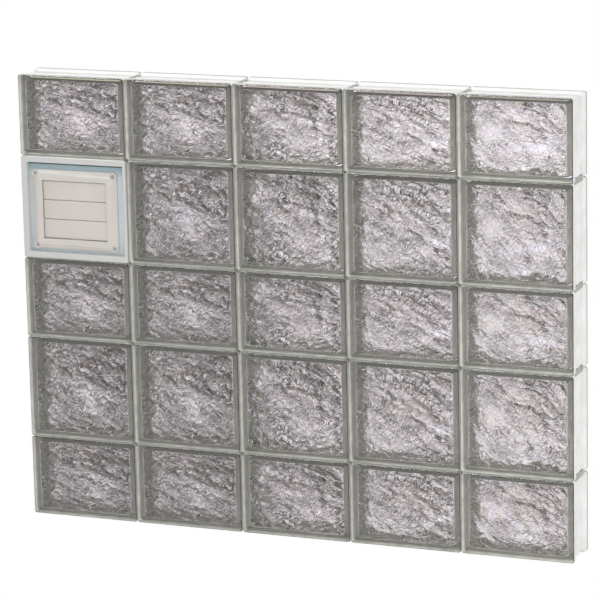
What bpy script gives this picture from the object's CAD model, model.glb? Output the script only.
# Glass block window panel with a louvred vent: the finish of every surface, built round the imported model
import math
import bpy
from mathutils import Matrix, Vector


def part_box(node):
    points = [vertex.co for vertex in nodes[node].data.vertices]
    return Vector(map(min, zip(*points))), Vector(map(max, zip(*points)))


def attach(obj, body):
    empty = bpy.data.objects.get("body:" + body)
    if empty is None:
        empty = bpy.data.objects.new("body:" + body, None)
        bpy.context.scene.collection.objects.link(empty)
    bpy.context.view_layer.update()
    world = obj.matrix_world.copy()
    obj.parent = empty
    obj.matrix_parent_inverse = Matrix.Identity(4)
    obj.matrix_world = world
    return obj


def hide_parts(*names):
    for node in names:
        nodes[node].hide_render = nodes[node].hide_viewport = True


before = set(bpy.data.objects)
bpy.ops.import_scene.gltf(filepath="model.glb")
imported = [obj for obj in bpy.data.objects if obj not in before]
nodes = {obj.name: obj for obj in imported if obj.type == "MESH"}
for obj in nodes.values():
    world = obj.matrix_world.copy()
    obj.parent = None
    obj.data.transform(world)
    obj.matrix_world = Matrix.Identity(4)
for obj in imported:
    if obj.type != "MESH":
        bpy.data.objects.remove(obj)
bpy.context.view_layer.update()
bpy.ops.object.select_all(action="DESELECT")
blockNames = sorted(name for name in nodes if name.startswith("block_"))
mm = 0.001
cm = 0.01


# The camera, fitted to the block corners in the photograph
cameraLook = {
    "target": (0.0006, 0.0, 0.4043),
    "distance": 5.7232,
    "azimuth": 21.918,
    "elevation": 12.943,
    "roll": -1.23,
    "lens": 204.57,
    "sensor": 36.0,
    "farthest": 50.0,
}


def placeCamera(look):
    turn, lift, roll = (math.radians(look[key]) for key in ("azimuth", "elevation", "roll"))
    ahead = Vector((-math.sin(turn) * math.cos(lift), math.cos(turn) * math.cos(lift), -math.sin(lift)))
    right = ahead.cross(Vector((0, 0, 1))).normalized()
    up = right.cross(ahead)
    sideways = math.cos(roll) * right + math.sin(roll) * up
    upward = math.cos(roll) * up - math.sin(roll) * right
    place = Vector(look["target"]) - ahead * look["distance"]
    bpy.ops.object.camera_add()
    camera = bpy.context.object
    camera.name = "camera"
    camera.matrix_world = Matrix.Translation(place) @ Matrix((sideways, upward, -ahead)).transposed().to_4x4()
    camera.data.lens = look["lens"]
    camera.data.sensor_width = look["sensor"]
    camera.data.clip_end = look["farthest"]
    bpy.context.scene.camera = camera


placeCamera(cameraLook)
print("camera placed")


# Small helpers for node trees
def addNode(tree, kind, **settings):
    made = tree.nodes.new(kind)
    for name, value in settings.items():
        setattr(made, name, value)
    return made


def feed(tree, socket, value):
    if isinstance(value, bpy.types.NodeSocket):
        tree.links.new(value, socket)
    else:
        socket.default_value = value


def feedAll(tree, node, values):
    for name, value in values.items():
        feed(tree, node.inputs[name], value)


def feedInTurn(tree, node, values):
    for socket, value in zip(node.inputs, values):
        feed(tree, socket, value)


def sumUp(tree, operation, *values):
    step = addNode(tree, "ShaderNodeMath", operation=operation)
    feedInTurn(tree, step, values)
    return step.outputs[0]


def vectorSum(tree, operation, *values):
    step = addNode(tree, "ShaderNodeVectorMath", operation=operation)
    feedInTurn(tree, step, values)
    return step.outputs["Value" if operation == "LENGTH" else "Vector"]


def scaled(tree, vector, amount):
    step = addNode(tree, "ShaderNodeVectorMath", operation="SCALE")
    feed(tree, step.inputs[0], vector)
    feed(tree, step.inputs["Scale"], amount)
    return step.outputs[0]


def fade(tree, value, low, high, toLow=0.0, toHigh=1.0):
    # goes smoothly from one value to another between two places
    step = addNode(tree, "ShaderNodeMapRange", interpolation_type="SMOOTHSTEP")
    feedInTurn(tree, step, (value, low, high, toLow, toHigh))
    return step.outputs[0]


def blend(tree, factor, first, second):
    mix = addNode(tree, "ShaderNodeMix", data_type="RGBA")
    feedAll(tree, mix, {"Factor": factor, "A": first, "B": second})
    return mix.outputs["Result"]


def axes(tree, vector):
    split = addNode(tree, "ShaderNodeSeparateXYZ")
    feed(tree, split.inputs[0], vector)
    return split.outputs


def objectAxes(tree):
    return axes(tree, addNode(tree, "ShaderNodeTexCoord").outputs["Object"])


def facingAxes(tree):
    return axes(tree, addNode(tree, "ShaderNodeNewGeometry").outputs["Normal"])


def joinAxes(tree, *values):
    joined = addNode(tree, "ShaderNodeCombineXYZ")
    feedInTurn(tree, joined, values)
    return joined.outputs[0]


def turned(tree, coords, degrees):
    turn = addNode(tree, "ShaderNodeVectorRotate", rotation_type="Z_AXIS")
    feedAll(tree, turn, {"Vector": coords, "Angle": -math.radians(degrees)})
    return turn.outputs[0]


def addNoise(tree, coords, scale, detail=2.0, roughness=0.5):
    noise = addNode(tree, "ShaderNodeTexNoise")
    feedAll(tree, noise, {"Vector": coords, "Scale": scale, "Detail": detail, "Roughness": roughness})
    return noise.outputs


def edgeDistance(tree, coords, scale):
    cells = addNode(tree, "ShaderNodeTexVoronoi", feature="DISTANCE_TO_EDGE")
    feedAll(tree, cells, {"Vector": coords, "Scale": scale})
    return cells.outputs["Distance"]


def newGroup(name, kind, takes, gives):
    # a node group with named inputs and outputs
    tree = bpy.data.node_groups.new(name, kind)
    for way, sockets in (("INPUT", takes), ("OUTPUT", gives)):
        for socket, form in sockets.items():
            tree.interface.new_socket(socket, in_out=way, socket_type="NodeSocket" + form)
    return tree, addNode(tree, "NodeGroupInput").outputs


def opaque(colour):
    return (*colour, 1)


# The ice pattern, pressed into the inside of both glass faces: its lengths are in centimetres. Here and
# below, four numbers in brackets are where a change starts and ends, and the value on either side of it
icePattern = {
    "backShift": 3.7,
    "bendScale": 0.16,
    "bend": 4.0,
    "shiverScale": 0.9,
    "shiver": 1.2,
    "grainAngle": 24.0,
    "grainStretch": 2.3,
    "foldScale": 0.36,
    "foldHeight": 0.45,
    "slabScale": 0.34,
    "slabHeight": 0.155,
    "slabEdge": 7.0,
    "flakeScale": 0.85,
    "flakeHeight": 0.055,
    "flakeEdge": 3.0,
    "crumpleScale": 0.9,
    "crumpleHeight": 0.045,
    "stoneRadii": (5.2, 4.2),
    "stoneTurn": 18.0,
    "stoneBend": 2.4,
    "stoneRim": (1.05, 0.8),
    "stoneHeight": 0.24,
    "rippleCount": 26.0,
    "ripples": (1.0, 1.2, 0.0, 0.045),
    "calmRing": (0.6, 1.1, 0.45, 1.0),
    "patchScale": 0.24,
    "patches": (0.40, 0.60, 0.45, 1.15),
    "rimFade": 1.0,
}


def makeIcePressing(look):
    tree, given = newGroup(
        "icePressing", "GeometryNodeTree",
        {"Mesh": "Geometry", "Centre": "Vector", "Half Size": "Vector", "Seed": "Float",
         "Stone Place": "Vector", "Squash": "Float", "Relief": "Float"},
        {"Mesh": "Geometry"},
    )
    place = addNode(tree, "GeometryNodeInputPosition").outputs[0]
    x, y, z = axes(tree, vectorSum(tree, "SUBTRACT", place, given["Centre"]))
    side = sumUp(tree, "SIGN", y)

    # the pressed faces move, and their rims slide along the side walls with them
    halfDepth = axes(tree, given["Half Size"])[1]
    depth = sumUp(tree, "SUBTRACT", halfDepth, sumUp(tree, "ABSOLUTE", y))
    nearFace = fade(tree, depth, 0.0, look["rimFade"] * cm, 1.0, 0.0)
    mask = sumUp(tree, "MULTIPLY", nearFace, given["Relief"])

    # pattern coordinates in centimetres, squashed on a low block and different on the back face
    upright = sumUp(tree, "DIVIDE", z, given["Squash"])
    flat = joinAxes(tree, *(sumUp(tree, "MULTIPLY", part, 1 / cm) for part in (x, upright)))
    seed = sumUp(tree, "ADD", given["Seed"], sumUp(tree, "MULTIPLY", side, look["backShift"]))
    seeded = vectorSum(tree, "ADD", flat, joinAxes(tree, 0.0, 0.0, seed))

    def wandering(scale, detail):
        colour = addNoise(tree, seeded, scale, detail)["Color"]
        return vectorSum(tree, "SUBTRACT", colour, (0.5, 0.5, 0.5))

    def pushed(spot, way, reach):
        return vectorSum(tree, "ADD", spot, vectorSum(tree, "MULTIPLY", way, (reach, reach, 0.0)))

    def slabs(scale, edge, height):
        # rounded slabs with sharp creases between them
        sunk = sumUp(tree, "MULTIPLY", edgeDistance(tree, grain, scale), -edge / scale)
        sunk = sumUp(tree, "EXPONENT", sunk)
        return sumUp(tree, "MULTIPLY", sumUp(tree, "SUBTRACT", 1.0, sunk), height)

    wander = wandering(look["bendScale"], 3.0)
    bent = pushed(seeded, wander, look["bend"])
    bent = pushed(bent, wandering(look["shiverScale"], 2.0), look["shiver"])
    grain = turned(tree, bent, -look["grainAngle"])
    grain = vectorSum(tree, "DIVIDE", grain, (look["grainStretch"], 1.0, 1.0))

    # rounded folds that meet in sharp creases, then slabs and small flakes on a crumpled ground
    swell = sumUp(tree, "SUBTRACT", addNoise(tree, grain, look["foldScale"], 1.0)[0], 0.5)
    folds = sumUp(tree, "MULTIPLY", sumUp(tree, "ABSOLUTE", swell), look["foldHeight"] * 2)
    slab = slabs(look["slabScale"], look["slabEdge"], look["slabHeight"])
    flakes = slabs(look["flakeScale"], look["flakeEdge"], look["flakeHeight"])
    crumple = addNoise(tree, grain, look["crumpleScale"])[0]
    crumple = sumUp(tree, "MULTIPLY", crumple, look["crumpleHeight"] * 2)
    crumple = sumUp(tree, "ADD", crumple, flakes)

    # the big rounded stone in the middle of the mould, with ripples round it
    stone = vectorSum(tree, "SUBTRACT", flat, given["Stone Place"])
    stone = turned(tree, pushed(stone, wander, look["stoneBend"]), -look["stoneTurn"])
    away = vectorSum(tree, "LENGTH", vectorSum(tree, "DIVIDE", stone, (*look["stoneRadii"], 1.0)))
    dome = sumUp(tree, "MULTIPLY", fade(tree, away, *look["stoneRim"]), look["stoneHeight"])
    ripples = sumUp(tree, "SINE", sumUp(tree, "MULTIPLY", away, look["rippleCount"]))
    ripples = sumUp(tree, "MULTIPLY", ripples, fade(tree, away, *look["ripples"]))

    # smooth on the stone and in some patches, rough in others
    calm = fade(tree, away, *look["calmRing"])
    rough = fade(tree, addNoise(tree, seeded, look["patchScale"], 1.0)[0], *look["patches"])
    detail = sumUp(tree, "MULTIPLY", sumUp(tree, "ADD", slab, crumple), calm)
    detail = sumUp(tree, "MULTIPLY", sumUp(tree, "ADD", detail, ripples), rough)
    height = sumUp(tree, "ADD", sumUp(tree, "ADD", folds, dome), detail)
    height = sumUp(tree, "MULTIPLY", height, mask)
    height = sumUp(tree, "MULTIPLY", height, sumUp(tree, "MULTIPLY", side, -cm))

    moved = addNode(tree, "GeometryNodeSetPosition")
    feedAll(tree, moved, {"Geometry": given["Mesh"], "Offset": joinAxes(tree, 0.0, height)})
    mesh = moved.outputs[0]
    for name, kind, value in (("pressed", "FLOAT", mask), ("iceSpot", "FLOAT_VECTOR", bent)):
        stored = addNode(tree, "GeometryNodeStoreNamedAttribute", data_type=kind, domain="POINT")
        feedAll(tree, stored, {"Geometry": mesh, "Name": name, "Value": value})
        mesh = stored.outputs[0]
    feed(tree, addNode(tree, "NodeGroupOutput").inputs[0], mesh)
    return tree


# Sizes of a block, in millimetres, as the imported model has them, and the moulds that pressed it
blockLook = {
    "coatThickness": 0.2,
    "coatBite": 0.05,
    "cornerRadius": 4.0,
    "cornerSteps": 6,
    "edgeRadius": 2.0,
    "edgeSteps": 4,
    "flangeDepth": 12.0,
    "keySlope": 3.0,
    "keyDepth": 4.0,
    "seamWidth": 4.0,
    "seamHeight": 1.0,
    "faceWall": 7.0,
    "sideRim": 12.0,
    "endRim": 9.0,
    "sideWall": 4.5,
    "cavityEdge": 2.0,
    "wallStations": (12.0, 16.0, 20.0),
    "cavityCorner": 5.0,
    "meshStep": 2.0,
    "smoothAngle": 35.0,
    "tallHeight": 176.8,
    "tallFrom": 150.0,
    "columnMoulds": (0, 0, 1, 2, 3),
    "mouldSeeds": (0.0, 11.3, 23.1, 37.9),
    "mouldRelief": (1.02, 1.1, 0.85, 0.66),
    "mouldStones": ((0.2, 0.2, 0), (0.4, -0.6, 0), (0.6, -0.9, 0), (0.2, -0.3, 0)),
}


def bothHalves(halfProfile, halfDepth):
    # a profile of depth and two insets, to the sides and the ends, from one face to the other
    back = [(2 * halfDepth - depth, side, end) for depth, side, end in reversed(halfProfile)]
    return halfProfile + back


def roundedEdge(radius, steps, depth=0.0, sideInset=0.0, endInset=0.0):
    stations = []
    for step in range(steps + 1):
        angle = math.pi / 2 * step / steps
        more = radius * (1 - math.sin(angle))
        stations.append((depth + radius * (1 - math.cos(angle)), sideInset + more, endInset + more))
    return stations


def outsideProfile(look, halfDepth):
    seam, floor = look["seamWidth"], look["keyDepth"]
    key = [
        (look["flangeDepth"], 0.0),
        (look["flangeDepth"] + look["keySlope"], floor),
        (halfDepth - seam / 2, floor),
        (halfDepth - seam / 4, floor - look["seamHeight"]),
    ]
    profile = roundedEdge(look["edgeRadius"], look["edgeSteps"])
    return bothHalves(profile + [(depth, inset, inset) for depth, inset in key], halfDepth)


def cavityProfile(look, halfDepth):
    widest = look["keyDepth"] + look["sideWall"]
    profile = roundedEdge(
        look["cavityEdge"], look["edgeSteps"], look["faceWall"], look["sideRim"], look["endRim"]
    )
    start, side, end = profile[-1]
    for part in look["wallStations"]:
        run = (part - start) / (halfDepth - start)
        profile.append((part, side + (widest - side) * run, end + (widest - end) * run))
    profile = bothHalves(profile, halfDepth)
    profile.insert(len(profile) // 2, (halfDepth, widest, widest))
    return profile


def select(piece):
    bpy.ops.object.select_all(action="DESELECT")
    piece.select_set(True)
    bpy.context.view_layer.objects.active = piece


def growAlong(centre, width, height, profile):
    # extrudes the selected outline from one station of the profile to the next
    depth, side, end = profile[0]
    for nextDepth, nextSide, nextEnd in profile[1:]:
        step = (nextDepth - depth) * mm
        bpy.ops.mesh.extrude_region_move(TRANSFORM_OT_translate={"value": (0, step, 0)})
        across = (width - 2 * nextSide) / (width - 2 * side)
        upright = (height - 2 * nextEnd) / (height - 2 * end)
        bpy.ops.transform.resize(value=(across, 1, upright), center_override=centre)
        depth, side, end = nextDepth, nextSide, nextEnd


def blockShell(look, centre, width, height, depth):
    # the outside of a block: a face with rounded corners, extruded through the thickness
    profile = outsideProfile(look, depth / 2)
    inset = profile[0][1]
    bpy.ops.object.select_all(action="DESELECT")
    front = (centre.x, centre.y - depth / 2 * mm, centre.z)
    bpy.ops.mesh.primitive_plane_add(size=1, location=front, rotation=(math.pi / 2, 0, 0))
    shell = bpy.context.object
    shell.scale = ((width - 2 * inset) * mm, (height - 2 * inset) * mm, 1)
    bpy.ops.object.transform_apply(location=True, rotation=True, scale=True)
    bpy.ops.object.mode_set(mode="EDIT")
    bpy.ops.mesh.select_all(action="SELECT")
    corner = look["cornerRadius"] * mm
    bpy.ops.mesh.bevel(offset=corner, segments=look["cornerSteps"], affect="VERTICES", offset_type="OFFSET")
    bpy.ops.mesh.select_all(action="SELECT")
    growAlong(centre, width, height, profile)
    bpy.ops.mesh.select_all(action="SELECT")
    bpy.ops.mesh.normals_make_consistent(inside=False)
    bpy.ops.object.mode_set(mode="OBJECT")
    return shell


def roundGridCorners(grid, centre, halfWidth, halfHeight, radius):
    for vertex in grid.data.vertices:
        x, z = vertex.co.x - centre.x, vertex.co.z - centre.z
        outX = abs(x) - (halfWidth - radius)
        outZ = abs(z) - (halfHeight - radius)
        if outX > 0 and outZ > 0:
            pull = max(outX, outZ) / math.hypot(outX, outZ)
            vertex.co.x = centre.x + math.copysign(halfWidth - radius + outX * pull, x)
            vertex.co.z = centre.z + math.copysign(halfHeight - radius + outZ * pull, z)


def giveInputs(modifier, values):
    for item in modifier.node_group.interface.items_tree:
        if item.in_out == "INPUT" and item.name in values:
            modifier[item.identifier] = values[item.name]


def blockCavity(look, centre, width, height, depth, mould):
    # the sealed hollow: a fine grid, extruded from one pressed face to the other
    profile = cavityProfile(look, depth / 2)
    start, side, end = profile[0]
    faceWidth, faceHeight = width - 2 * side, height - 2 * end
    bpy.ops.object.select_all(action="DESELECT")
    bpy.ops.mesh.primitive_grid_add(
        size=1,
        x_subdivisions=round(faceWidth / look["meshStep"]),
        y_subdivisions=round(faceHeight / look["meshStep"]),
        location=(centre.x, centre.y + (start - depth / 2) * mm, centre.z),
        rotation=(math.pi / 2, 0, 0),
    )
    cavity = bpy.context.object
    cavity.scale = (faceWidth * mm, faceHeight * mm, 1)
    bpy.ops.object.transform_apply(location=True, rotation=True, scale=True)
    corner = look["cavityCorner"] * mm
    roundGridCorners(cavity, centre, faceWidth / 2 * mm, faceHeight / 2 * mm, corner)
    bpy.ops.object.mode_set(mode="EDIT")
    bpy.ops.mesh.select_all(action="SELECT")
    growAlong(centre, width, height, profile)
    bpy.ops.mesh.select_all(action="SELECT")
    bpy.ops.mesh.normals_make_consistent(inside=True)
    bpy.ops.object.mode_set(mode="OBJECT")
    pressing = cavity.modifiers.new("pressing", "NODES")
    pressing.node_group = icePressing
    giveInputs(pressing, {
        "Centre": centre,
        "Half Size": (faceWidth / 2 * mm, (depth / 2 - start) * mm, faceHeight / 2 * mm),
        "Seed": look["mouldSeeds"][mould],
        "Stone Place": look["mouldStones"][mould],
        "Squash": height / look["tallHeight"],
        "Relief": look["mouldRelief"][mould],
    })
    bpy.ops.object.modifier_apply(modifier="pressing")
    return cavity


def edgeCoat(look, shell, centre, depth):
    # a skin of paint over the flanges and the key, cut from a copy of the shell
    select(shell)
    bpy.ops.object.duplicate()
    coat = bpy.context.object
    reach = (depth / 2 - look["edgeRadius"]) * mm
    bpy.ops.object.mode_set(mode="EDIT")
    bpy.ops.mesh.select_all(action="DESELECT")
    bpy.ops.object.mode_set(mode="OBJECT")
    for polygon in coat.data.polygons:
        polygon.select = abs(polygon.center.y - centre.y) > reach
    bpy.ops.object.mode_set(mode="EDIT")
    bpy.ops.mesh.select_mode(type="FACE")
    bpy.ops.mesh.delete(type="FACE")
    bpy.ops.object.mode_set(mode="OBJECT")
    coat.data.materials.append(edgeCoating)
    coat.data.materials.append(coatInside)
    # it reaches a little way into the shell
    thickness = look["coatThickness"] + look["coatBite"]
    skin = coat.modifiers.new("skin", "SOLIDIFY")
    skin.thickness = thickness * mm
    skin.offset = 2 * look["coatThickness"] / thickness - 1
    skin.use_even_offset = True
    skin.material_offset = skin.material_offset_rim = 1
    bpy.ops.object.modifier_apply(modifier="skin")
    return coat


def finishSmooth(piece, angle):
    select(piece)
    bpy.ops.object.shade_smooth_by_angle(angle=math.radians(angle))


def dress(piece, name, slotName, *replaced):
    piece.name = name
    piece.data.name = name
    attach(piece, "panel")
    if replaced:
        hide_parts(*replaced)


def copyTo(piece, shift):
    copied = piece.copy()
    copied.data = piece.data.copy()
    copied.data.transform(Matrix.Translation(shift))
    bpy.context.collection.objects.link(copied)
    return copied


# The finest lines in the glass, on the same coordinates as the ice pattern
fineLines = {
    "sampleStep": 0.03,
    "hatchAngle": 45.0,
    "hatchScale": (1.2, 2.8, 1.0),
    "hatchHeight": 0.10,
    "hatchRoughness": 0.6,
    "scratchScale": (1.2, 3.8, 1.0),
    "scratchEdge": (0.55, 0.46),
    "scratchTint": 0.85,
    "creaseScale": (0.35, 0.8, 1.0),
    "creaseWidth": 0.05,
    "creaseDepth": 0.10,
    "creaseTint": 0.3,
}


def makeFineGrain(look, grainAngle):
    # hatching and hair-fine creases tilt the normal by their slope, worked out from three close samples
    tree, given = newGroup(
        "fineGrain", "ShaderNodeTree",
        {"Spot": "Vector", "Strength": "Float"},
        {"Normal": "Vector", "Shade": "Float"},
    )
    step = look["sampleStep"]

    def drawnOut(spot, angle, scale):
        return vectorSum(tree, "MULTIPLY", turned(tree, spot, angle), scale)

    def crumple(offset):
        spot = vectorSum(tree, "ADD", given["Spot"], offset)
        hatchSpot = drawnOut(spot, look["hatchAngle"], look["hatchScale"])
        hatch = addNoise(tree, hatchSpot, 1.0, 1.0, look["hatchRoughness"])[0]
        swell = sumUp(tree, "MULTIPLY", hatch, look["hatchHeight"] * 2 / step)
        gap = edgeDistance(tree, drawnOut(spot, -grainAngle, look["creaseScale"]), 1.0)
        groove = sumUp(tree, "EXPONENT", sumUp(tree, "DIVIDE", gap, -look["creaseWidth"]))
        deep = sumUp(tree, "MULTIPLY", groove, -look["creaseDepth"] / step)
        return sumUp(tree, "ADD", swell, deep), groove

    here, grooves = crumple((0.0, 0.0, 0.0))
    along = sumUp(tree, "SUBTRACT", crumple((step, 0.0, 0.0))[0], here)
    beside = sumUp(tree, "SUBTRACT", crumple((0.0, step, 0.0))[0], here)
    tilted = addNode(tree, "ShaderNodeNewGeometry").outputs["Normal"]
    for slope, direction in ((along, (1.0, 0.0, 0.0)), (beside, (0.0, 0.0, 1.0))):
        tilt = scaled(tree, direction, sumUp(tree, "MULTIPLY", slope, given["Strength"]))
        tilted = vectorSum(tree, "ADD", tilted, tilt)

    # fine scratches and the creases take some light away
    scratchSpot = drawnOut(given["Spot"], look["hatchAngle"], look["scratchScale"])
    scratches = fade(tree, addNoise(tree, scratchSpot, 1.0, 1.0)[0], *look["scratchEdge"])
    dim = sumUp(tree, "MULTIPLY", scratches, look["scratchTint"])
    dim = sumUp(tree, "ADD", dim, sumUp(tree, "MULTIPLY", grooves, look["creaseTint"]))
    shade = sumUp(tree, "SUBTRACT", 1.0, sumUp(tree, "MULTIPLY", dim, given["Strength"]))
    out = addNode(tree, "NodeGroupOutput")
    feedAll(tree, out, {"Normal": vectorSum(tree, "NORMALIZE", tilted), "Shade": shade})
    return tree


# The glass: its tints run over the height and the width of the panel, in metres
glassLook = {
    "tint": (0.93, 0.94, 0.92),
    "bending": 1.52,
    "edgeDepth": (0.0370, 0.0376),
    "edgeTurn": (0.99, 0.9),
    "edgeTint": 0.85,
    "grainPatches": (0.38, 0.62, 0.45, 1.15),
    "rowTint": (0.630, 0.638, 0.925, 1.0),
    "columnTint": (-0.18, 0.0, 0.885, 1.0),
}


def glassMaterial(look):
    material = bpy.data.materials.new("iceGlass")
    material.use_nodes = True
    tree = material.node_tree
    tree.nodes.clear()
    glass = addNode(tree, "ShaderNodeBsdfPrincipled")
    feedAll(tree, glass, {"Roughness": 0.0, "IOR": look["bending"], "Transmission Weight": 1.0})
    # light for the shadows passes straight through
    clear = addNode(tree, "ShaderNodeBsdfTransparent")
    clear.inputs["Color"].default_value = opaque(look["tint"])
    shadowRay = addNode(tree, "ShaderNodeLightPath").outputs["Is Shadow Ray"]
    mixed = addNode(tree, "ShaderNodeMixShader")
    feedInTurn(tree, mixed, (shadowRay, glass.outputs[0], clear.outputs[0]))
    feed(tree, addNode(tree, "ShaderNodeOutputMaterial").inputs["Surface"], mixed.outputs[0])

    # fine lines on the pressed faces, stronger in some patches than in others
    pressed = addNode(tree, "ShaderNodeAttribute", attribute_name="pressed").outputs["Fac"]
    spot = addNode(tree, "ShaderNodeAttribute", attribute_name="iceSpot").outputs["Vector"]
    patches = addNoise(tree, spot, icePattern["patchScale"])[0]
    strength = sumUp(tree, "MULTIPLY", pressed, fade(tree, patches, *look["grainPatches"]))
    fine = addNode(tree, "ShaderNodeGroup")
    fine.node_tree = fineGrain
    feedAll(tree, fine, {"Spot": spot, "Strength": strength})
    feed(tree, glass.inputs["Normal"], fine.outputs["Normal"])

    # the rounded edges of the block swallow light
    x, y, z = objectAxes(tree)
    nearFace = fade(tree, sumUp(tree, "ABSOLUTE", y), *look["edgeDepth"])
    turnedAway = fade(tree, sumUp(tree, "ABSOLUTE", facingAxes(tree)[1]), *look["edgeTurn"])
    edge = sumUp(tree, "MULTIPLY", sumUp(tree, "MULTIPLY", nearFace, turnedAway), look["edgeTint"])
    shade = sumUp(tree, "MULTIPLY", fine.outputs["Shade"], sumUp(tree, "SUBTRACT", 1.0, edge))
    # the top course is the clearest, and the columns grow clearer to the right
    shade = sumUp(tree, "MULTIPLY", shade, fade(tree, z, *look["rowTint"]))
    shade = sumUp(tree, "MULTIPLY", shade, fade(tree, x, *look["columnTint"]))
    feed(tree, glass.inputs["Base Color"], scaled(tree, look["tint"], shade))
    return material


# A skin that every opaque piece has. A finish is two colours to mottle between, the scale of the
# mottle, the roughness and, where it is rough enough, the strength of the bump
skinLook = {
    "mottle": (0.3, 0.7),
    "mottleDetail": 3.0,
    "grainShare": 30.0,
    "grainSwing": 0.3,
    "bumpDepth": 0.0002,
}


def makePlasticSkin(look):
    # mottles a colour and roughens a surface
    tree, given = newGroup(
        "plasticSkin", "ShaderNodeTree",
        {"Light": "Color", "Dark": "Color", "Scale": "Float", "Sheen": "Float"},
        {"Colour": "Color", "Roughness": "Float", "Height": "Float"},
    )
    place = addNode(tree, "ShaderNodeTexCoord").outputs["Object"]
    mottle = addNoise(tree, place, given["Scale"], look["mottleDetail"])[0]
    colour = blend(tree, fade(tree, mottle, *look["mottle"]), given["Dark"], given["Light"])
    grain = addNoise(tree, place, sumUp(tree, "MULTIPLY", given["Scale"], look["grainShare"]))[0]
    swing = sumUp(tree, "MULTIPLY", sumUp(tree, "SUBTRACT", grain, 0.5), look["grainSwing"])
    out = addNode(tree, "NodeGroupOutput")
    roughness = sumUp(tree, "ADD", given["Sheen"], swing)
    feedAll(tree, out, {"Colour": colour, "Roughness": roughness, "Height": grain})
    return tree


plasticSkin = makePlasticSkin(skinLook)


def skinMaterial(name, light, dark, scale, sheen, bump=0.0):
    material = bpy.data.materials.new(name)
    material.use_nodes = True
    tree = material.node_tree
    shader = tree.nodes["Principled BSDF"]
    skin = addNode(tree, "ShaderNodeGroup")
    skin.name = "skin"
    skin.node_tree = plasticSkin
    feedAll(tree, skin, {"Light": opaque(light), "Dark": opaque(dark), "Scale": scale, "Sheen": sheen})
    feedAll(tree, shader, {"Base Color": skin.outputs["Colour"], "Roughness": skin.outputs["Roughness"]})
    if bump:
        relief = addNode(tree, "ShaderNodeBump")
        feedAll(tree, relief, {"Strength": bump, "Distance": skinLook["bumpDepth"]})
        feed(tree, relief.inputs["Height"], skin.outputs["Height"])
        feed(tree, shader.inputs["Normal"], relief.outputs[0])
    return material


def skinNodes(material):
    tree = material.node_tree
    return tree, tree.nodes["Principled BSDF"], tree.nodes["skin"]


# The coating on the block edges, from outside and as it is seen through the glass
coatLook = {
    "outside": ((0.80, 0.80, 0.78), (0.90, 0.90, 0.88), 25, 0.55, 0.3),
    "backLine": (0.0335, 0.0350),
    "backShade": (0.22, 0.22, 0.23),
    "flange": (0.46, 0.455, 0.42),
    "floor": (0.215, 0.21, 0.193),
    "insideGrain": (60, 0.6),
    "slopeDepth": (0.0247, 0.0272),
    "level": (0.3, 0.55, 1.0, 0.62),
    "lastColumn": (0.285, 0.305, 1.0, 1.22),
    "shares": {"Light": 1.12, "Dark": 0.88},
    "glow": 0.65,
}


def edgeCoatingMaterial(look):
    # the coating thins out to a dark line along the back edges
    material = skinMaterial("edgeCoating", *look["outside"])
    tree, shader, skin = skinNodes(material)
    back = fade(tree, objectAxes(tree)[1], *look["backLine"])
    shade = blend(tree, back, skin.outputs["Colour"], opaque(look["backShade"]))
    feed(tree, shader.inputs["Base Color"], shade)
    return material


def coatInsideMaterial(look):
    # seen through the glass the coating is pale on the flanges and darker in the deep key
    material = skinMaterial("coatInside", look["flange"], look["flange"], *look["insideGrain"])
    tree, shader, skin = skinNodes(material)
    x, y, z = objectAxes(tree)
    onFlange = fade(tree, sumUp(tree, "ABSOLUTE", y), *look["slopeDepth"])
    shade = blend(tree, onFlange, opaque(look["floor"]), opaque(look["flange"]))
    # darker where it lies level, along the top and the bottom of a block, and palest in the last column
    level = fade(tree, sumUp(tree, "ABSOLUTE", facingAxes(tree)[2]), *look["level"])
    level = sumUp(tree, "MULTIPLY", level, fade(tree, x, *look["lastColumn"]))
    for name, share in look["shares"].items():
        feed(tree, skin.inputs[name], scaled(tree, shade, sumUp(tree, "MULTIPLY", level, share)))
    feed(tree, shader.inputs["Emission Color"], skin.outputs["Colour"])
    feedAll(tree, shader, {"Emission Strength": look["glow"], "Specular IOR Level": 0.0})
    return material


icePressing = makeIcePressing(icePattern)
fineGrain = makeFineGrain(fineLines, icePattern["grainAngle"])
iceGlass = glassMaterial(glassLook)
edgeCoating = edgeCoatingMaterial(coatLook)
coatInside = coatInsideMaterial(coatLook)


def pressBlock(look, centre, width, height, depth, mould):
    # the glass round its sealed hollow, and the coat on its edges
    coatThickness = look["coatThickness"]
    shell = blockShell(look, centre, width - 2 * coatThickness, height - 2 * coatThickness, depth)
    coat = edgeCoat(look, shell, centre, depth)
    glass = blockCavity(look, centre, width, height, depth, mould)
    select(glass)
    shell.select_set(True)
    bpy.ops.object.join()
    glass.data.materials.append(iceGlass)
    finishSmooth(glass, look["smoothAngle"])
    finishSmooth(coat, look["smoothAngle"])
    return glass, coat


def makeBlocks(look):
    # columns that share a mould are copies, and so are courses of one height
    made = {}
    for name in blockNames:
        low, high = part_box(name)
        centre = (low + high) / 2
        width, depth, height = (high - low) / mm
        mould = look["columnMoulds"][int(name[-1]) - 1]
        key = (mould, height > look["tallFrom"])
        if key in made:
            firstGlass, firstCoat, firstCentre = made[key]
            glass = copyTo(firstGlass, centre - firstCentre)
            coat = copyTo(firstCoat, centre - firstCentre)
        else:
            glass, coat = pressBlock(look, centre, width, height, depth, mould)
            made[key] = (glass, coat, centre)
        place = name.removeprefix("block_")
        dress(glass, "glass_" + place, "glass", name)
        dress(coat, "coat_" + place, "sealant")
    print("glass blocks pressed:", len(blockNames))


makeBlocks(blockLook)


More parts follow.
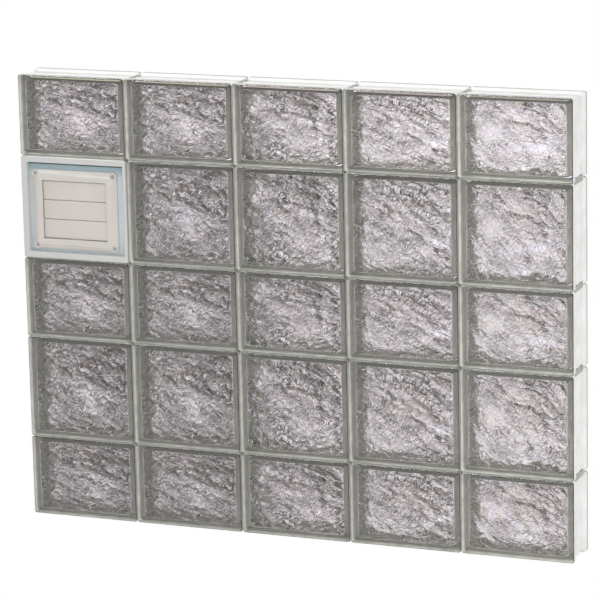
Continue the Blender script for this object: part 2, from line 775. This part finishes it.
# The vent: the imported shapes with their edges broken, a lap rib on each flap, and four screws. Its
# sizes are in millimetres, but for the fades on the board
ventLook = {
    "vinyl": ((0.63, 0.63, 0.615), (0.60, 0.60, 0.585), 18, 0.4, 0.2),
    "almond": ((0.66, 0.625, 0.58), (0.635, 0.60, 0.555), 22, 0.55, 0.35),
    "board": ((0.63, 0.69, 0.72), (0.58, 0.65, 0.69), 30, 0.5, 0.3),
    "boardTop": (0.38, 0.50, 0.54),
    "boardFade": (0.022, 0.008),
    "grime": (0.07, 0.10, 0.11),
    "grimeFade": (0.0042, 0.0032),
    "edges": {"vent_frame": 0.7, "vent_board": 0.3, "vent_back_plate": 0.6, "duct_socket": 0.4,
              "louver_cover": 0.5, "flap_top": 0.25, "flap_middle": 0.25, "flap_bottom": 0.25},
    "edgeSteps": 2,
    "mergeReach": 0.001,
    "flatAngle": 1.5,
    "sharpAngle": 40.0,
    "ribBack": (1.35, 1.85),
    "ribReach": (-1.0, 2.65),
    "ribShort": 1.0,
    "ribEdge": 0.15,
    "barrelRadius": 1.75,
    "pinLength": 3.5,
    "screwPaint": ((0.62, 0.61, 0.59), (0.50, 0.49, 0.47), 400, 0.35),
    "recessDark": ((0.16, 0.16, 0.16), (0.12, 0.12, 0.12), 400, 0.7),
    "screwOffset": (72.25, 62.5),
    "screwSeat": 35.1875,
    "screwSides": 32,
    "screwRadius": 3.4,
    "screwHeight": 1.3,
    "screwEdge": 0.6,
    "screwSteps": 3,
    "screwTurn": 0.35,
    "crossLength": 2.8,
    "crossWidth": 0.9,
    "crossDepth": 0.8,
}


def boardMaterial(look):
    # the board is stronger blue in its upper part
    material = skinMaterial("blueBoard", *look["board"])
    tree, shader, skin = skinNodes(material)
    z = objectAxes(tree)[2]
    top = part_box("vent_board")[1].z
    bluer = fade(tree, z, *(top - part for part in look["boardFade"]))
    shade = blend(tree, bluer, skin.outputs["Colour"], opaque(look["boardTop"]))
    # a dark line of grime where the board meets the head of its pocket
    grimy = fade(tree, z, *(top - part for part in look["grimeFade"]))
    feed(tree, shader.inputs["Base Color"], blend(tree, grimy, shade, opaque(look["grime"])))
    return material


sealant = skinMaterial("sealant", (0.42, 0.42, 0.40), (0.36, 0.36, 0.34), 40, 0.45)
vinyl = skinMaterial("whiteVinyl", *ventLook["vinyl"])
almond = skinMaterial("almondPlastic", *ventLook["almond"])
blueBoard = boardMaterial(ventLook)
screwPaint = skinMaterial("screwPaint", *ventLook["screwPaint"])
recessDark = skinMaterial("recessDark", *ventLook["recessDark"])


def brokenEdges(name, look, material, body="panel"):
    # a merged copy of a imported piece, with a small round on every sharp edge
    piece = bpy.data.objects.new(name + "_finished", nodes[name].data.copy())
    bpy.context.collection.objects.link(piece)
    piece.data.materials.clear()
    piece.data.materials.append(material)
    select(piece)
    bpy.ops.object.mode_set(mode="EDIT")
    bpy.ops.mesh.select_all(action="SELECT")
    bpy.ops.mesh.remove_doubles(threshold=look["mergeReach"] * mm)
    bpy.ops.mesh.dissolve_limited(angle_limit=math.radians(look["flatAngle"]))
    bpy.ops.object.mode_set(mode="OBJECT")
    edge = piece.modifiers.new("brokenEdge", "BEVEL")
    edge.width = look["edges"][name] * mm
    edge.segments = look["edgeSteps"]
    edge.limit_method = "ANGLE"
    edge.angle_limit = math.radians(look["sharpAngle"])
    edge.use_clamp_overlap = True
    bpy.ops.object.modifier_apply(modifier="brokenEdge")
    finishSmooth(piece, look["sharpAngle"])
    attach(piece, body)
    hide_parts(name)
    return piece


def lapRib(flap, name, look):
    # a rib on the barrel that closes the slit under the flap above
    low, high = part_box(name)
    hinge = high.z - look["barrelRadius"] * mm
    axisY = low.y + look["barrelRadius"] * mm
    front, back = (axisY + part * mm for part in look["ribBack"])
    bottom, top = (hinge + part * mm for part in look["ribReach"])
    left, right = flap.bound_box[0][0], flap.bound_box[6][0]
    short = (look["ribShort"] + look["pinLength"]) * mm
    bpy.ops.object.select_all(action="DESELECT")
    centre = ((left + right) / 2, (front + back) / 2, (bottom + top) / 2)
    bpy.ops.mesh.primitive_cube_add(size=1, location=centre)
    rib = bpy.context.object
    rib.scale = (right - left - 2 * short, back - front, top - bottom)
    bpy.ops.object.transform_apply(location=True, rotation=True, scale=True)
    bpy.ops.object.mode_set(mode="EDIT")
    bpy.ops.mesh.select_all(action="SELECT")
    bpy.ops.mesh.bevel(offset=look["ribEdge"] * mm, segments=look["edgeSteps"], affect="EDGES")
    bpy.ops.object.mode_set(mode="OBJECT")
    rib.data.materials.append(almond)
    finishSmooth(rib, look["sharpAngle"])
    select(flap)
    rib.select_set(True)
    bpy.ops.object.join()


def screwHead(look):
    # a domed head with a cross recess, made at the world's middle
    bpy.ops.object.select_all(action="DESELECT")
    height = look["screwHeight"] * mm
    bpy.ops.mesh.primitive_cylinder_add(
        vertices=look["screwSides"], radius=look["screwRadius"] * mm, depth=height,
        location=(0, -height / 2, 0), rotation=(math.pi / 2, 0, 0),
    )
    head = bpy.context.object
    bpy.ops.object.transform_apply(location=True, rotation=True, scale=True)
    for vertex in head.data.vertices:
        vertex.select = False
    for polygon in head.data.polygons:
        polygon.select = round(polygon.normal.y) == -1
    bpy.ops.object.mode_set(mode="EDIT")
    bpy.ops.mesh.select_mode(type="FACE")
    bpy.ops.mesh.bevel(offset=look["screwEdge"] * mm, segments=look["screwSteps"], affect="EDGES")
    bpy.ops.object.mode_set(mode="OBJECT")
    head.data.materials.append(screwPaint)
    for turn in (look["screwTurn"], look["screwTurn"] + math.pi / 2):
        bpy.ops.object.select_all(action="DESELECT")
        bpy.ops.mesh.primitive_cube_add(size=1, location=(0, -height, 0), rotation=(0, turn, 0))
        cutter = bpy.context.object
        cutter.scale = (look["crossLength"] * mm, 2 * look["crossDepth"] * mm, look["crossWidth"] * mm)
        bpy.ops.object.transform_apply(location=True, rotation=True, scale=True)
        cutter.data.materials.append(recessDark)
        cut = head.modifiers.new("cross", "BOOLEAN")
        cut.object = cutter
        cut.operation = "DIFFERENCE"
        cut.solver = "EXACT"
        cut.material_mode = "TRANSFER"
        select(head)
        bpy.ops.object.modifier_apply(modifier="cross")
        bpy.data.objects.remove(cutter)
    finishSmooth(head, look["sharpAngle"])
    return head


def makeVent(look):
    for name in ("vent_frame", "vent_back_plate", "duct_socket"):
        brokenEdges(name, look, vinyl)
    brokenEdges("vent_board", look, blueBoard)
    brokenEdges("louver_cover", look, almond)
    for part in ("top", "middle", "bottom"):
        flap = brokenEdges("flap_" + part, look, almond, part + "_flap")
        lapRib(flap, "flap_" + part, look)
    low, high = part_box("louver_cover")
    centre = (low + high) / 2
    head = screwHead(look)
    across, upright = look["screwOffset"]
    for number, (x, z) in enumerate(((-1, 1), (1, 1), (-1, -1), (1, -1)), 1):
        spot = Vector((centre.x + x * across * mm, -look["screwSeat"] * mm, centre.z + z * upright * mm))
        screw = copyTo(head, spot)
        dress(screw, "cover_screw_" + str(number), "almond_plastic")
    bpy.data.objects.remove(head)
    print("vent finished, with", number, "screws")


makeVent(ventLook)
for name in nodes:
    if "joint" in name:
        nodes[name].data.materials.clear()
        nodes[name].data.materials.append(sealant)
print("joints filled")


# The studio: a pale floor, soft lights, and a world that the glass sees differently. Heights and
# widths here are those of a ray's direction
studioLook = {
    "brownish": (1.0, 0.84, 0.81),
    "lilac": (1.0, 0.885, 1.03),
    "lilacRange": (0.6, 1.5),
    "level": 0.785,
    "lowest": 0.04,
    "darkBelow": -0.60,
    "paleAbove": -0.28,
    "lineLow": -0.215,
    "lineHigh": -0.165,
    "lineLift": 0.85,
    "rise": 3.8,
    "across": 4.3,
    "acrossShift": 0.364,
    "leftEnd": -0.47,
    "rightEnd": -0.2,
    "rightFade": (0.05, 0.25, 1.0, 0.2),
    "topFade": (-0.02, 0.2, 1.0, 0.3),
    "clutterScale": 14.0,
    "clutter": 2.4,
    "clutterFade": (-0.45, -0.25, 1.0, 0.4),
    "darkest": (-0.45, -0.25, 0.05, 0.7),
    "brightest": (-0.42, -0.28, 1.6, 1.12),
    "patchScale": 8.0,
    "patch": 0.9,
    "room": 0.58,
    "roomRise": 0.35,
    "roomAcross": 0.08,
    "keyLight": ((1.6, -2.6, 2.4), (1.2, 1.2), 20.0),
    "glossLight": ((-0.9, -0.9, 2.6), (2.4, 1.0), 150.0),
    "lightTarget": (0.0, 0.0, 0.4),
    "floorSize": 12.0,
    "floor": ((0.9, 0.9, 0.9), (0.88, 0.88, 0.88), 2, 0.7),
    "floorGlow": 0.2,
}


def seenThroughGlass(tree, place, look):
    # dark low down, and paler higher up and towards the right
    parts = axes(tree, place)
    x, z = parts[0], parts[2]
    low = fade(tree, z, look["darkBelow"], look["paleAbove"], look["lowest"], look["level"])
    line = fade(tree, z, look["lineLow"], look["lineHigh"], 0.0, look["lineLift"])
    high = sumUp(tree, "MAXIMUM", sumUp(tree, "SUBTRACT", z, look["lineHigh"]), 0.0)
    high = sumUp(tree, "MULTIPLY", high, look["rise"])
    sideways = sumUp(tree, "MAXIMUM", x, look["leftEnd"])
    sideways = sumUp(tree, "MINIMUM", sideways, look["rightEnd"])
    across = sumUp(tree, "MULTIPLY", sumUp(tree, "ADD", sideways, look["acrossShift"]), look["across"])
    level = sumUp(tree, "ADD", sumUp(tree, "ADD", low, line), sumUp(tree, "ADD", high, across))
    # soft clutter, weaker towards the right
    clutter = addNoise(tree, place, look["clutterScale"], 1.0)[0]
    swing = sumUp(tree, "MULTIPLY", sumUp(tree, "SUBTRACT", clutter, 0.5), look["clutter"])
    swing = sumUp(tree, "MULTIPLY", swing, fade(tree, x, *look["clutterFade"]))
    level = sumUp(tree, "MULTIPLY", level, sumUp(tree, "ADD", swing, 1.0))
    level = sumUp(tree, "MAXIMUM", level, fade(tree, x, *look["darkest"]))
    level = sumUp(tree, "MINIMUM", level, fade(tree, x, *look["brightest"]))
    # it darkens above and to the right, where only mirrored and strongly bent rays go
    level = sumUp(tree, "MULTIPLY", level, fade(tree, x, *look["rightFade"]))
    level = sumUp(tree, "MULTIPLY", level, fade(tree, z, *look["topFade"]))
    # brownish where it is dark and lilac where it is pale, in patches of slightly different hue
    lilac = fade(tree, level, *(look["level"] * share for share in look["lilacRange"]))
    shade = blend(tree, lilac, opaque(look["brownish"]), opaque(look["lilac"]))
    patches = addNoise(tree, place, look["patchScale"])["Color"]
    hue = vectorSum(tree, "SUBTRACT", patches, (0.5, 0.5, 0.5))
    hue = vectorSum(tree, "MULTIPLY_ADD", hue, (look["patch"],) * 3, (1.0, 1.0, 1.0))
    return scaled(tree, vectorSum(tree, "MULTIPLY", hue, shade), level)


def makeWorld(look):
    world = bpy.data.worlds.new("studio")
    bpy.context.scene.world = world
    world.use_nodes = True
    tree = world.node_tree
    place = addNode(tree, "ShaderNodeTexCoord").outputs["Generated"]
    # what lights the panel and mirrors in it is a plain grey, paler above and to the right
    parts = axes(tree, place)
    roomRise = sumUp(tree, "MULTIPLY", parts[2], look["roomRise"])
    roomAcross = sumUp(tree, "MULTIPLY", parts[0], look["roomAcross"])
    room = sumUp(tree, "ADD", sumUp(tree, "ADD", roomRise, roomAcross), look["room"])
    rays = addNode(tree, "ShaderNodeLightPath").outputs
    shown = blend(tree, rays["Is Transmission Ray"], room, seenThroughGlass(tree, place, look))
    shown = blend(tree, rays["Is Camera Ray"], shown, (1, 1, 1, 1))
    feed(tree, tree.nodes["Background"].inputs["Color"], shown)


def makeFloor(look):
    bpy.ops.object.select_all(action="DESELECT")
    bpy.ops.mesh.primitive_plane_add(size=look["floorSize"], location=(0, 0, 0))
    floor = bpy.context.object
    floor.name = "floor"
    floor.visible_camera = floor.visible_transmission = False
    ground = skinMaterial("paleFloor", *look["floor"])
    shader = ground.node_tree.nodes["Principled BSDF"]
    shader.inputs["Emission Color"].default_value = (1, 1, 1, 1)
    shader.inputs["Emission Strength"].default_value = look["floorGlow"]
    floor.data.materials.append(ground)


def makeLights(look):
    for name in ("keyLight", "glossLight"):
        place, size, power = look[name]
        bpy.ops.object.light_add(type="AREA", location=place)
        light = bpy.context.object
        light.name = name
        light.data.shape = "RECTANGLE"
        light.data.size, light.data.size_y = size
        light.data.energy = power
        aim = Vector(look["lightTarget"]) - light.location
        light.rotation_euler = aim.to_track_quat("-Z", "Y").to_euler()
    # the last light is only for the bright lines along the glass edges
    light.visible_diffuse = light.visible_transmission = light.visible_camera = False


makeWorld(studioLook)
makeFloor(studioLook)
makeLights(studioLook)
bpy.context.scene.view_settings.view_transform = "Standard"
print("studio ready")
